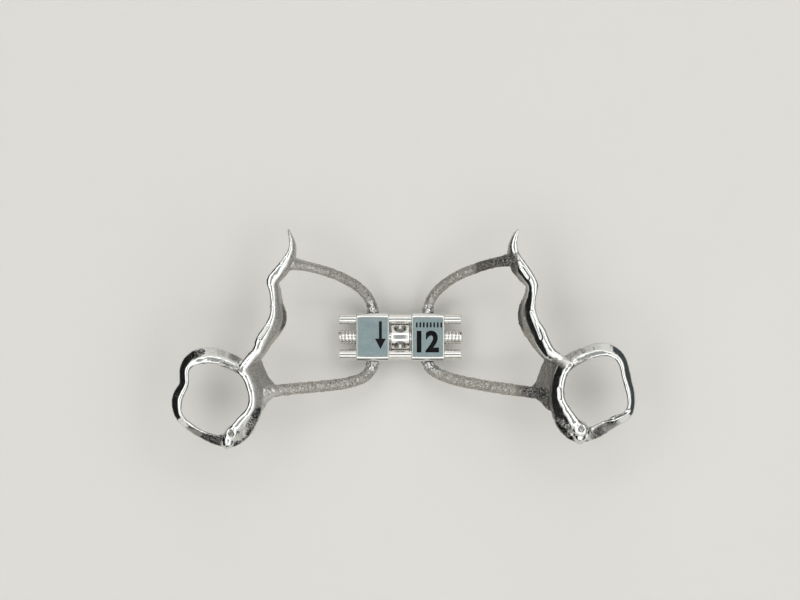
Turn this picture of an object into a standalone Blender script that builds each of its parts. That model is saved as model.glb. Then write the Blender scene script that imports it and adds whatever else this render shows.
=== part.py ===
"""Rapid palatal expander: a double-threaded expansion screw between two sintered molar-band frameworks.

Metres, +Z towards the biting side, +Y towards the front teeth, +X to the right of someone who looks at the
biting side. The origin is midway between the two molar bands, at half their height.
"""

import math

import bmesh
import bpy
from mathutils import Matrix, Vector

MM = 0.001

# Where the expansion screw hangs between the bands.
SCREW_AHEAD = 6.2 * MM
SCREW_DROP = 6.5 * MM

# The spindle. Its hub turns between the two guide pins and the two housings.
THREAD_RADIUS = 0.88 * MM
THREAD_CHAMFER = 0.2 * MM
NECK_RADIUS = 0.72 * MM
HUB_RADIUS = 1.38 * MM
HUB_LENGTH = 2.16 * MM
HUB_CHAMFER = 0.1 * MM
HUB_END_GAP = 0.2 * MM
HUB_SIDE_GAP = 0.06 * MM
NECK_SHORTFALL = 0.04 * MM
KEY_HOLE_RADIUS = 0.62 * MM
KEY_HOLE_MOUTH = 0.76 * MM
KEY_HOLE_TILT = math.radians(45)

# The guide pins and the housings that slide on them.
GUIDE_RADIUS = 0.59 * MM
GUIDE_CHAMFER = 0.1 * MM
GUIDE_SETBACK = 0.05 * MM
SLIDING_CLEARANCE = 0.02 * MM
HOUSING_LENGTH = 3.77 * MM
HOUSING_HEIGHT = 3.5 * MM
HOUSING_SIDE_WALL = 0.13 * MM
HOUSING_CORNER = 0.53 * MM
HOUSING_CHAMFER = 0.12 * MM
END_REACH = 2.05 * MM
WELD_GAP = 0.02 * MM
ROUND_STEPS = 28
CORNER_STEPS = 5

# What follows from them.
GUIDE_SPACING = 2 * (HUB_RADIUS + HUB_SIDE_GAP + GUIDE_RADIUS)
HOUSING_DEPTH = GUIDE_SPACING + 2 * (GUIDE_RADIUS + HOUSING_SIDE_WALL)
EXPANSION_GAP = HUB_LENGTH + 2 * HUB_END_GAP
HOUSING_MIDDLE = (EXPANSION_GAP + HOUSING_LENGTH) / 2
SCREW_LENGTH = EXPANSION_GAP + 2 * (HOUSING_LENGTH + END_REACH)

# The sintered frameworks: bands, straps, arms and the rest of each one-piece side.
BAND_HEIGHT = 4.2 * MM
BAND_WALL = 0.55 * MM
STRAP_WALL_SHARE = 0.26
FRONT_ARM_RADIUS = 0.58 * MM
REAR_ARM_RADIUS = 0.66 * MM
ARM_ROOT_GROWTH = 0.36 * MM
ARM_ROOT_LENGTH = 2.6 * MM
ARM_ROOT_DOME = 0.5 * MM
WELD_BEAD_GROWTH = 0.1 * MM
WELD_BEAD_LENGTH = 0.9 * MM
GUSSET_THICKNESS = 0.8 * MM
BAND_STEPS = 4
STRAP_STEPS = 3
ARM_STEPS = 18
ARM_SIDES = 12
ARM_CROWDING = 0.8
BOSS_STEPS = 12

# A band's wall in section, as shares: of the rim's width from its middle, of the flare past the rim's edge,
# of the wall's thickness inwards, and of the flare and the height down from the rim. The crown of the rim is
# gently rounded, and the flare under it slopes at about 40 degrees before the wall drops.
BAND_SECTION = (
    (-0.5, 0.0, 0.0, 0.0, 0.05),
    (-0.28, 0.0, 0.0, 0.0, 0.01),
    (0.0, 0.0, 0.0, 0.0, 0.0),
    (0.28, 0.0, 0.0, 0.0, 0.01),
    (0.5, 0.0, 0.0, 0.0, 0.035),
    (0.5, 0.5, 0.0, 0.33, 0.038),
    (0.5, 0.94, 0.0, 0.64, 0.042),
    (0.5, 1.0, 0.0, 0.72, 0.075),
    (0.5, 0.97, 0.0, 0.0, 0.8),
    (0.5, 0.8, 0.0, 0.0, 0.97),
    (0.5, 0.8, 1.0, 0.0, 0.98),
    (0.5, 0.97, 1.0, 0.0, 0.8),
    (0.5, 1.0, 1.0, 0.72, 0.16),
    (0.5, 0.5, 1.0, 0.4, 0.13),
)

# A strap in section, as shares: of the ridge's width from its middle, of the flange's reach past the ridge's
# edge, of the wall's thickness towards the teeth, and of that reach and the height down from the ridge.
STRAP_SECTION = (
    (-0.5, 0.0, 0.0, 0.0, 0.08),
    (-0.28, 0.0, 0.0, 0.0, 0.015),
    (0.0, 0.0, 0.0, 0.0, 0.0),
    (0.28, 0.0, 0.0, 0.0, 0.015),
    (0.5, 0.0, 0.0, 0.0, 0.05),
    (0.5, 0.3, 0.0, 0.2, 0.055),
    (0.5, 0.56, 0.0, 0.39, 0.065),
    (0.5, 0.78, 0.0, 0.3, 0.5),
    (0.5, 1.0, 0.0, 0.0, 0.9),
    (0.5, 0.98, 0.3, 0.0, 1.0),
    (0.5, 0.9, 0.8, 0.0, 0.97),
    (0.5, 0.72, 1.0, 0.0, 0.68),
    (0.5, 0.4, 1.1, 0.0, 0.38),
)

# All that follows is in millimetres from the centre of the side's own band; heights are measured down from
# the level of the rim. A band has rows of x and y of the rim's middle, width of the rim, bulge of the wall,
# dip of the rim, and lift of the lower edge. A strap has rows of x, y, drop of the ridge, width of the ridge,
# reach of the flange and height, from the rim to the pointed front tip. A gusset has rows of its edge in the
# band's wall and its free edge. An arm has its root, the way and length of its first handle, the length of
# the handle at the screw and the side of the screw that it meets. A boss has its centre, its half sizes and
# its turn in degrees.
LEFT = {
    "centre": (-20.85, -0.55),
    "band": (
        (-0.6, 4.3, 1.0, 1.35, 0.5, 0.5),
        (-2.1, 4.05, 0.9, 1.35, 0.3, 0.3),
        (-3.1, 3.2, 0.7, 0.95, 0.0, 0.0),
        (-3.2, 1.5, 0.6, 0.9, 0.15, -0.1),
        (-3.9, -0.15, 0.68, 1.0, 0.0, -0.1),
        (-3.85, -1.8, 0.55, 0.8, 0.0, 0.0),
        (-2.75, -3.0, 0.45, 0.7, 0.2, 0.2),
        (-1.2, -3.9, 0.28, 0.85, 0.7, 0.5),
        (0.5, -4.3, 0.3, 1.25, 0.85, 0.5),
        (1.75, -3.9, 1.0, 1.7, 0.1, 0.3),
        (2.75, -2.65, 0.95, 1.9, 0.0, 0.0),
        (3.95, -1.3, 0.92, 1.3, 0.0, -0.2),
        (4.13, 0.4, 0.9, 1.15, 0.1, -0.2),
        (3.4, 2.4, 0.9, 1.15, 0.2, 0.0),
        (2.2, 3.5, 0.9, 1.1, 0.5, 0.2),
        (0.85, 4.05, 0.95, 1.2, 0.6, 0.5),
    ),
    "strap": (
        (2.8, 2.85, 0.3, 0.5, 0.4, 0.9),
        (3.25, 3.6, 0.42, 0.9, 0.7, 1.6),
        (4.0, 4.55, 0.7, 1.05, 1.0, 2.5),
        (4.75, 5.45, 0.95, 1.1, 1.05, 3.0),
        (5.15, 6.6, 1.1, 1.25, 1.35, 3.2),
        (5.95, 7.95, 1.2, 1.0, 1.55, 3.2),
        (6.45, 9.2, 1.3, 0.85, 1.6, 3.1),
        (6.5, 10.65, 1.3, 0.7, 1.1, 2.9),
        (6.4, 12.0, 1.2, 0.8, 0.95, 2.6),
        (6.25, 13.15, 1.1, 1.1, 0.9, 2.4),
        (7.0, 14.2, 1.2, 1.05, 1.0, 2.5),
        (7.95, 15.5, 1.35, 0.85, 0.95, 2.4),
        (8.45, 16.7, 1.5, 0.55, 0.7, 1.8),
        (8.5, 17.5, 1.55, 0.42, 0.5, 1.2),
        (8.35, 18.3, 1.6, 0.3, 0.3, 0.8),
        (8.15, 19.0, 1.6, 0.16, 0.14, 0.4),
    ),
    "gusset": (
        ((3.2, 3.9, 2.1), (5.0, 4.6, 3.5)),
        ((4.15, 2.8, 2.2), (5.4, 3.4, 3.7)),
        ((4.6, 1.9, 2.3), (5.95, 2.2, 3.8)),
        ((4.85, 1.0, 2.4), (6.8, 1.2, 3.9)),
        ((4.97, 0.2, 2.5), (6.8, 0.2, 3.9)),
        ((4.97, -0.6, 2.6), (5.8, -0.6, 3.8)),
        ((4.95, -1.4, 2.7), (5.3, -1.5, 3.6)),
    ),
    "arms": (
        {"root": (8.1, 15.2, 2.4), "handle": (4.8, -0.7, 1.6), "end_handle": 3.3, "face": 1},
        {"root": (4.95, 0.5, 3.2), "handle": (8.0, 1.0, 2.6), "end_handle": 3.2, "face": -1},
    ),
    "boss": {"centre": (1.8, -4.2, 0.95), "half": (1.6, 0.9, 1.0), "turn": 50},
}
RIGHT = {
    "centre": (22.05, 0.55),
    "band": (
        (0.55, 3.95, 0.85, 1.15, 0.4, 0.5),
        (1.95, 3.65, 0.7, 1.0, 0.2, 0.3),
        (2.75, 2.75, 0.7, 0.82, 0.0, 0.0),
        (3.1, 1.2, 0.62, 0.85, 0.1, -0.1),
        (3.55, -0.4, 0.65, 0.74, 0.0, -0.1),
        (3.7, -1.85, 0.52, 0.66, 0.0, 0.0),
        (3.25, -2.85, 0.55, 0.8, 0.1, 0.1),
        (1.9, -3.45, 0.7, 1.0, 0.3, 0.3),
        (0.55, -4.0, 0.3, 1.35, 0.85, 0.5),
        (-0.7, -4.75, 0.9, 1.2, 0.6, 0.5),
        (-1.95, -4.4, 1.2, 1.8, 0.0, 0.3),
        (-3.05, -2.85, 1.0, 1.9, 0.0, 0.0),
        (-3.9, -1.3, 0.9, 1.3, 0.0, -0.2),
        (-3.9, 0.4, 0.82, 1.15, 0.1, -0.2),
        (-3.3, 2.1, 0.85, 1.1, 0.3, 0.0),
        (-1.7, 3.3, 0.9, 1.1, 0.5, 0.4),
    ),
    "strap": (
        (-2.7, 2.5, 0.3, 0.5, 0.4, 0.9),
        (-3.3, 2.95, 0.42, 0.9, 0.7, 1.6),
        (-4.1, 3.4, 0.7, 1.0, 1.0, 2.5),
        (-5.0, 4.05, 0.95, 1.05, 1.2, 3.0),
        (-5.6, 5.15, 1.1, 1.0, 1.55, 3.2),
        (-6.1, 6.4, 1.2, 0.95, 1.85, 3.3),
        (-6.8, 7.6, 1.3, 0.9, 1.85, 3.2),
        (-7.1, 8.9, 1.3, 0.75, 1.6, 3.0),
        (-7.0, 10.2, 1.2, 0.6, 1.1, 2.6),
        (-6.9, 11.55, 1.1, 0.9, 0.95, 2.4),
        (-7.4, 12.65, 1.2, 0.9, 1.25, 2.6),
        (-8.3, 13.95, 1.35, 0.9, 1.35, 2.6),
        (-9.0, 15.15, 1.5, 0.8, 0.95, 2.0),
        (-9.15, 16.25, 1.55, 0.65, 0.6, 1.5),
        (-8.95, 17.15, 1.6, 0.5, 0.4, 1.1),
        (-8.65, 17.85, 1.6, 0.2, 0.16, 0.5),
    ),
    "gusset": (
        ((-3.55, 2.9, 2.1), (-5.6, 3.4, 3.6)),
        ((-4.25, 2.0, 2.2), (-6.15, 2.1, 3.7)),
        ((-4.65, 0.9, 2.3), (-6.65, 0.6, 3.8)),
        ((-4.75, -0.1, 2.4), (-7.3, -0.1, 3.9)),
        ((-4.8, -1.0, 2.5), (-7.2, -0.95, 3.9)),
        ((-4.75, -1.9, 2.6), (-6.1, -1.7, 3.9)),
        ((-4.6, -2.7, 2.7), (-5.3, -2.6, 3.8)),
    ),
    "arms": (
        {"root": (-9.0, 14.5, 2.5), "handle": (-4.7, -0.5, 1.6), "end_handle": 3.4, "face": 1},
        {"root": (-4.85, -0.9, 3.2), "handle": (-6.1, 0.9, 2.6), "end_handle": 2.5, "face": -1},
    ),
    "boss": {"centre": (-1.85, -4.75, 0.95), "half": (1.45, 1.1, 1.05), "turn": -38},
}

BODY_STEEL = {"name": "housing_steel", "colour": (0.62, 0.66, 0.68), "roughness": 0.3}
TURNED_STEEL = {"name": "turned_steel", "colour": (0.8, 0.8, 0.79), "roughness": 0.15}
SINTERED_ALLOY = {"name": "sintered_cobalt_chrome", "colour": (0.62, 0.62, 0.61), "roughness": 0.25}
SMOOTH_ANGLE = math.radians(40)


def clear_scene():
    """Remove whatever the open file holds."""
    for item in list(bpy.data.objects):
        bpy.data.objects.remove(item, do_unlink=True)


def make_metal(finish):
    """Return a new metal with the finish's colour and roughness."""
    material = bpy.data.materials.new(finish["name"])
    material.use_nodes = True
    shader = material.node_tree.nodes["Principled BSDF"]
    shader.inputs["Base Color"].default_value = (*finish["colour"], 1.0)
    shader.inputs["Metallic"].default_value = 1.0
    shader.inputs["Roughness"].default_value = finish["roughness"]
    return material


def add_empty(name, place, parent=None):
    """Add an empty that carries the pieces which move together."""
    empty = bpy.data.objects.new(name, None)
    bpy.context.scene.collection.objects.link(empty)
    empty.parent = parent
    empty.location = place
    return empty


def loft(name, rings, closed, parent, place):
    """Skin a row of rings with equal point counts, and cap the first and last unless the row is closed.

    The skin is triangles, because the booleans fail on its warped four-sided faces.
    """
    builder = bmesh.new()
    skin = [[builder.verts.new(point) for point in ring] for ring in rings]
    pairs = list(zip(skin, skin[1:]))
    if closed:
        pairs.append((skin[-1], skin[0]))
    for first, second in pairs:
        count = len(first)
        for index in range(count):
            after = (index + 1) % count
            builder.faces.new((first[index], first[after], second[after], second[index]))
    if not closed:
        builder.faces.new(skin[0])
        builder.faces.new(skin[-1])
    bmesh.ops.recalc_face_normals(builder, faces=builder.faces)
    bmesh.ops.triangulate(builder, faces=builder.faces)
    mesh = bpy.data.meshes.new(name)
    builder.to_mesh(mesh)
    builder.free()
    mesh.shade_smooth()
    mesh.set_sharp_from_angle(angle=SMOOTH_ANGLE)
    piece = bpy.data.objects.new(name, mesh)
    bpy.context.scene.collection.objects.link(piece)
    piece.parent = parent
    piece.location = place
    return piece


def combine(piece, tool, operation):
    """Join a shape to a piece, or cut it away, and hide the shape itself."""
    modifier = piece.modifiers.new(tool.name, "BOOLEAN")
    modifier.operation = operation
    modifier.solver = "EXACT"
    modifier.object = tool
    tool.hide_render = True
    tool.display_type = "WIRE"


def turned(name, profile, parent, place, steps=ROUND_STEPS, outside=False):
    """Turn a profile of (x, radius) about the X axis; with outside set, the flats clear the radius."""
    growth = 1 / math.cos(math.pi / steps) if outside else 1.0
    rings = []
    for x, radius in profile:
        angles = [2 * math.pi * step / steps for step in range(steps)]
        reach = radius * growth
        rings.append([Vector((x, reach * math.cos(angle), reach * math.sin(angle))) for angle in angles])
    return loft(name, rings, False, parent, place)


def smooth_rows(rows, steps, closed):
    """Return rows along a Catmull-Rom curve through the given rows, with so many steps to each stretch."""
    points = [Vector(row) for row in rows]
    count = len(points)
    result = []
    for start in range(count if closed else count - 1):
        if closed:
            before, first, second, after = (points[(start + shift) % count] for shift in (-1, 0, 1, 2))
        else:
            first, second = points[start], points[start + 1]
            before = points[start - 1] if start else first
            after = points[start + 2] if start + 2 < count else second
        for step in range(steps):
            share = step / steps
            linear = (second - before) * share
            square = (2 * before - 5 * first + 4 * second - after) * share ** 2
            cube = (3 * first - before - 3 * second + after) * share ** 3
            result.append(0.5 * (2 * first + linear + square + cube))
    if not closed:
        result.append(points[-1])
    return result


def build_housing(name, side, parent, material):
    """Add one half of the screw's body, bored for the two guide pins and the threaded spindle."""
    half_length = HOUSING_LENGTH / 2
    rings = []
    for x, inset in (
        (-half_length, HOUSING_CHAMFER),
        (HOUSING_CHAMFER - half_length, 0.0),
        (half_length - HOUSING_CHAMFER, 0.0),
        (half_length, HOUSING_CHAMFER),
    ):
        corner = HOUSING_CORNER - inset
        ring = []
        for quarter in range(4):
            sideways = 1 if quarter in (0, 3) else -1
            upwards = 1 if quarter in (0, 1) else -1
            middle_y = sideways * (HOUSING_DEPTH / 2 - HOUSING_CORNER)
            middle_z = upwards * (HOUSING_HEIGHT / 2 - HOUSING_CORNER)
            for step in range(CORNER_STEPS + 1):
                angle = math.pi / 2 * (quarter + step / CORNER_STEPS)
                ring.append((x, middle_y + corner * math.cos(angle), middle_z + corner * math.sin(angle)))
        rings.append(ring)
    middle = (side * HOUSING_MIDDLE, 0.0, 0.0)
    housing = loft(name, rings, False, parent, middle)
    housing.data.materials.append(material)
    bores = (
        ("front", GUIDE_SPACING / 2, GUIDE_RADIUS),
        ("rear", -GUIDE_SPACING / 2, GUIDE_RADIUS),
        ("middle", 0.0, THREAD_RADIUS),
    )
    for label, ahead, radius in bores:
        profile = [(end * HOUSING_LENGTH, radius + SLIDING_CLEARANCE) for end in (-1, 1)]
        place = (middle[0], ahead, 0.0)
        bore = turned(f"{name}_{label}_bore", profile, parent, place, outside=True)
        combine(housing, bore, "DIFFERENCE")


def build_spindle(parent, material):
    """Add the spindle: two threaded shanks, and between them a hub with two crossing key holes."""
    shoulder = HUB_LENGTH / 2 + HUB_END_GAP - NECK_SHORTFALL
    half = [
        (HUB_LENGTH / 2 - HUB_CHAMFER, HUB_RADIUS),
        (HUB_LENGTH / 2, HUB_RADIUS - HUB_CHAMFER),
        (HUB_LENGTH / 2, NECK_RADIUS),
        (shoulder, NECK_RADIUS),
        (shoulder, THREAD_RADIUS),
        (SCREW_LENGTH / 2 - THREAD_CHAMFER, THREAD_RADIUS),
        (SCREW_LENGTH / 2, THREAD_RADIUS - THREAD_CHAMFER),
    ]
    profile = [(-x, radius) for x, radius in reversed(half)] + half
    spindle = turned("expansion_spindle", profile, parent, (0, 0, 0))
    spindle.data.materials.append(material)
    flare = KEY_HOLE_MOUTH - KEY_HOLE_RADIUS
    ends = [(HUB_RADIUS - flare, KEY_HOLE_RADIUS), (HUB_RADIUS + flare, KEY_HOLE_MOUTH + flare)]
    hole = [(-x, radius) for x, radius in reversed(ends)] + ends
    for index in range(2):
        tool = turned(f"key_hole_{index + 1}", hole, parent, (0, 0, 0), steps=24)
        turn = Matrix.Rotation(KEY_HOLE_TILT + index * math.pi / 2, 4, "X")
        tool.data.transform(turn @ Matrix.Rotation(math.pi / 2, 4, "Z"))
        combine(spindle, tool, "DIFFERENCE")


def build_guide_pin(name, ahead, parent, material):
    """Add one ground pin with chamfered ends."""
    end = SCREW_LENGTH / 2 - GUIDE_SETBACK
    half = [(end - GUIDE_CHAMFER, GUIDE_RADIUS), (end, GUIDE_RADIUS - GUIDE_CHAMFER)]
    profile = [(-x, radius) for x, radius in reversed(half)] + half
    pin = turned(name, profile, parent, (0, ahead, 0))
    pin.data.materials.append(material)


def level(drop):
    """Return the height that lies so many millimetres under the rim."""
    return BAND_HEIGHT / 2 - drop * MM


def across(path, index, closed):
    """Return the level direction square to a path of rows at one of its points."""
    last = len(path) - 1
    before = path[index - 1] if index or closed else path[0]
    after = path[(index + 1) % len(path)] if index < last or closed else path[last]
    along = Vector((after[0] - before[0], after[1] - before[1], 0)).normalized()
    return Vector((along.y, -along.x, 0))


def build_band(name, outline, parent, place):
    """Skin a band's wall round its outline."""
    path = smooth_rows(outline, BAND_STEPS, True)
    rings = []
    for index, (x, y, width, bulge, dip, lift) in enumerate(path):
        spot = Vector((x * MM, y * MM, 0))
        outward = across(path, index, True)
        if outward.dot(spot) < 0:
            outward.negate()
        height = BAND_HEIGHT - (dip + lift) * MM
        flare = bulge - width / 2
        ring = []
        for rim, swell, wall, spread, down in BAND_SECTION:
            reach = (rim * width + swell * flare) * MM - wall * BAND_WALL
            drop = level(dip) - spread * flare * MM - down * height
            ring.append(spot + outward * reach + Vector((0, 0, drop)))
        rings.append(ring)
    return loft(name, rings, True, parent, place)


def build_strap(name, rows, side, parent, place):
    """Skin a lingual strap from its root in the band to its tip; its flange leans towards the palate."""
    path = smooth_rows(rows, STRAP_STEPS, False)
    rings = []
    for index, (x, y, drop, width, flange, height) in enumerate(path):
        inward = across(path, index, False)
        if inward.x * side > 0:
            inward.negate()
        past = flange - width / 2
        ring = []
        for ridge, lean, wall, spread, down in STRAP_SECTION:
            reach = ridge * width + lean * past - wall * STRAP_WALL_SHARE * height
            spot = Vector((x * MM, y * MM, level(drop + spread * past + down * height)))
            ring.append(spot + inward * reach * MM)
        rings.append(ring)
    return loft(name, rings, False, parent, place)


def build_gusset(name, rows, parent, place):
    """Skin the thick web that fills the corner between strap, band and rear arm."""
    rings = []
    for near, free in rows:
        near = Vector((near[0] * MM, near[1] * MM, level(near[2])))
        free = Vector((free[0] * MM, free[1] * MM, level(free[2])))
        up = Vector((0, 0, GUSSET_THICKNESS / 2))
        middle = near.lerp(free, 0.5) - up / 2
        rings.append([near + up, middle + up, free + up / 2, free - up / 2, middle - up, near - up])
    return loft(name, rings, False, parent, place)


def arm_path(root, first_handle, last_handle, weld):
    """Return points along a cubic curve, crowded towards its two ends, where an arm bends and swells."""
    path = []
    for step in range(ARM_STEPS + 1):
        share = step / ARM_STEPS
        share -= ARM_CROWDING * math.sin(2 * math.pi * share) / (2 * math.pi)
        rest = 1 - share
        spot = rest ** 3 * root + 3 * rest ** 2 * share * first_handle
        path.append(spot + 3 * rest * share ** 2 * last_handle + share ** 3 * weld)
    return path


def build_arm(name, arm, side, parent, place):
    """Sweep a round arm from its root in the framework to the side of its half of the screw's body."""
    root = Vector((arm["root"][0] * MM, arm["root"][1] * MM, level(arm["root"][2])))
    handle = Vector((arm["handle"][0] * MM, arm["handle"][1] * MM, -arm["handle"][2] * MM))
    away = Vector((0, arm["face"], 0))
    weld = Vector((side * HOUSING_MIDDLE, SCREW_AHEAD, -SCREW_DROP))
    weld += away * (HOUSING_DEPTH / 2 + WELD_GAP) - place
    bend = weld + away * arm["end_handle"] * MM
    slender = FRONT_ARM_RADIUS if arm["face"] > 0 else REAR_ARM_RADIUS
    path = arm_path(root, root + handle, bend, weld)
    travelled = [0.0]
    for first, second in zip(path, path[1:]):
        travelled.append(travelled[-1] + (second - first).length)
    rings = []
    for index, spot in enumerate(path):
        if index == 0:
            along = handle.normalized()
        elif index == ARM_STEPS:
            along = -away
        else:
            along = (path[index + 1] - path[index - 1]).normalized()
        sideways = along.cross(Vector((0, 0, 1))).normalized()
        upwards = sideways.cross(along)
        rooted = max(0.0, 1 - travelled[index] / ARM_ROOT_LENGTH) ** 2
        welded = max(0.0, 1 - (travelled[-1] - travelled[index]) / WELD_BEAD_LENGTH)
        domed = min(1.0, 0.5 + travelled[index] / ARM_ROOT_DOME)
        radius = domed * (slender + rooted * ARM_ROOT_GROWTH + welded * WELD_BEAD_GROWTH)
        ring = []
        for step in range(ARM_SIDES):
            angle = 2 * math.pi * step / ARM_SIDES
            ring.append(spot + radius * (sideways * math.cos(angle) + upwards * math.sin(angle)))
        rings.append(ring)
    return loft(name, rings, False, parent, place)


def build_boss(name, boss, parent, place):
    """Add the rounded boss on the rim's rear palatal corner."""
    rings = []
    for row in range(1, BOSS_STEPS // 2):
        tilt = math.pi * row / (BOSS_STEPS // 2)
        ring = []
        for step in range(BOSS_STEPS):
            angle = 2 * math.pi * step / BOSS_STEPS
            ring.append(Vector((math.sin(tilt) * math.cos(angle), math.sin(tilt) * math.sin(angle), math.cos(tilt))))
        rings.append(ring)
    shape = loft(name, rings, False, parent, place)
    centre = Vector((boss["centre"][0] * MM, boss["centre"][1] * MM, level(boss["centre"][2])))
    size = Matrix.Diagonal((*(half * MM for half in boss["half"]), 1.0))
    turn = Matrix.Rotation(math.radians(boss["turn"]), 4, "Z")
    shape.data.transform(Matrix.Translation(centre) @ turn @ size)
    return shape


def build_framework(name, side, shape, parent, material):
    """Join band, strap, gusset, arms and boss into the one sintered piece of a side."""
    place = Vector((shape["centre"][0] * MM, shape["centre"][1] * MM, 0))
    local = place - parent.location
    framework = build_band(name, shape["band"], parent, local)
    framework.data.materials.append(material)
    tools = [
        build_strap(f"{name}_strap", shape["strap"], side, parent, local),
        build_gusset(f"{name}_gusset", shape["gusset"], parent, local),
        build_boss(f"{name}_boss", shape["boss"], parent, local),
    ]
    for index, arm in enumerate(shape["arms"]):
        tools.append(build_arm(f"{name}_arm_{index + 1}", arm, side, parent, place))
        tools[-1].location = local
    for tool in tools:
        combine(framework, tool, "UNION")


def main():
    """Build the whole appliance."""
    clear_scene()
    body_steel = make_metal(BODY_STEEL)
    turned_steel = make_metal(TURNED_STEEL)
    alloy = make_metal(SINTERED_ALLOY)
    screw_centre = Vector((0, SCREW_AHEAD, -SCREW_DROP))
    guide_pins = add_empty("guide_pins", screw_centre)
    spindle = add_empty("spindle", screw_centre)
    build_guide_pin("front_guide_pin", GUIDE_SPACING / 2, guide_pins, turned_steel)
    build_guide_pin("rear_guide_pin", -GUIDE_SPACING / 2, guide_pins, turned_steel)
    build_spindle(spindle, turned_steel)
    for label, side, shape in (("left", -1, LEFT), ("right", 1, RIGHT)):
        half = add_empty(f"{label}_half", screw_centre)
        build_housing(f"{label}_housing", side, half, body_steel)
        build_framework(f"{label}_framework", side, shape, half, alloy)


main()
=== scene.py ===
import math

import bpy
import numpy as np
from mathutils import Matrix, Vector


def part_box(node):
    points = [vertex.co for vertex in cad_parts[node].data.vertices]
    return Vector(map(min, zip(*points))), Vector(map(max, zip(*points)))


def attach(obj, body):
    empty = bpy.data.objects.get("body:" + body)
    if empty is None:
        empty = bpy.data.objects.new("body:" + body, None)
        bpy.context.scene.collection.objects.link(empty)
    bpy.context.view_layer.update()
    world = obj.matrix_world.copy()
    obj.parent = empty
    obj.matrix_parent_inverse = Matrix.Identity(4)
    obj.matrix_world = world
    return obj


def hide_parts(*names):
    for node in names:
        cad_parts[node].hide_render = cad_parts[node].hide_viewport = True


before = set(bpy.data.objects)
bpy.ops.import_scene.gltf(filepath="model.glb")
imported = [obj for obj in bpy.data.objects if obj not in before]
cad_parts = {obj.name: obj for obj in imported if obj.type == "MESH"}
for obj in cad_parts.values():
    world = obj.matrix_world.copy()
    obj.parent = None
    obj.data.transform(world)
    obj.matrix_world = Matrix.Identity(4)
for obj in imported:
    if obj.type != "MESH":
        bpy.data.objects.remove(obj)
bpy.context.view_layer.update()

# The studio: a camera straight above the biting side, as in the photograph, a pale floor just under the
# screw, and soft light from above. Dark cards stand in a ring round the object, as a photographer of
# polished metal sets them, so that the walls which face them turn dark.
MM = 0.001
CAMERA_DISTANCE = 360 * MM
CAMERA_CLIP = 10 * MM
VIEW_WIDTH = 92 * MM
VIEW_MIDDLE_X = -0.03 * MM
VIEW_MIDDLE_Y = 10.44 * MM
FLOOR_GAP = 1.3 * MM
FLOOR_SIZE = 1600 * MM
FLOOR_COLOUR = "#E6E4E0"
ROOM_COLOUR = "#F4F3F0"
ROOM_LIGHT = 1.0
LAMP_HEIGHT = 620 * MM
LAMP_SIZE = 800 * MM
LAMP_POWER = 2.4
CARD_BLACK = "#0B0B0C"
CARD_DARK = "#4E565A"
CARD_ABOVE = "#E0E8EB"
CARD_RING = 480 * MM
CARD_FOOT = -10 * MM
LENS_PLACE = (0, 10 * MM, 500 * MM)
LENS_SIZE = (240 * MM, 400 * MM)


def srgb(code):
    """Turn an sRGB hex colour into linear RGBA."""
    channels = [int(code[start:start + 2], 16) / 255 for start in (1, 3, 5)]
    return (*(c / 12.92 if c <= 0.04045 else ((c + 0.055) / 1.055) ** 2.4 for c in channels), 1.0)


def add_node(tree, kind, settings=None, links=None):
    """Add a node with its settings, by property or by socket, and with the links that feed it."""
    node = tree.nodes.new(kind)
    for key, value in (settings or {}).items():
        if isinstance(key, int) or key in node.inputs:
            node.inputs[key].default_value = value
        else:
            setattr(node, key, value)
    for key, source in (links or {}).items():
        tree.links.new(source, node.inputs[key])
    return node


def new_material(name):
    """Return a new material, its node tree and its main shader."""
    material = bpy.data.materials.new(name)
    material.use_nodes = True
    return material, material.node_tree, material.node_tree.nodes["Principled BSDF"]


spindle_low, spindle_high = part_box("expansion_spindle")
screw_centre = (spindle_low + spindle_high) / 2
housing_low, housing_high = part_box("left_housing")
plate_top = housing_high.z
floor_level = housing_low.z - FLOOR_GAP

bpy.ops.object.camera_add(
    location=(VIEW_MIDDLE_X, VIEW_MIDDLE_Y, screw_centre.z + CAMERA_DISTANCE),
    rotation=(0, 0, 0),
)
camera = bpy.context.object
camera.data.lens = camera.data.sensor_width * CAMERA_DISTANCE / VIEW_WIDTH
camera.data.clip_start = CAMERA_CLIP
bpy.context.scene.camera = camera
bpy.context.scene.view_settings.view_transform = "Standard"

bpy.ops.mesh.primitive_plane_add(size=FLOOR_SIZE, location=(VIEW_MIDDLE_X, VIEW_MIDDLE_Y, floor_level))
floor = bpy.context.object
floor.name = "floor"
floor_paper, _, shader = new_material("pale_matt_paper")
shader.inputs["Base Color"].default_value = srgb(FLOOR_COLOUR)
shader.inputs["Roughness"].default_value = 0.9
shader.inputs["Specular IOR Level"].default_value = 0.2
floor.data.materials.append(floor_paper)


def add_card(name, colour, place, turn, size):
    """Add a flat card that the camera does not see."""
    bpy.ops.mesh.primitive_plane_add(size=1, location=place, rotation=turn)
    card = bpy.context.object
    card.name = name
    card.scale = (*size, 1)
    card.visible_camera = False
    card_paper, _, shader = new_material(name)
    shader.inputs["Base Color"].default_value = srgb(colour)
    shader.inputs["Roughness"].default_value = 1.0
    card.data.materials.append(card_paper)


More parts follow.
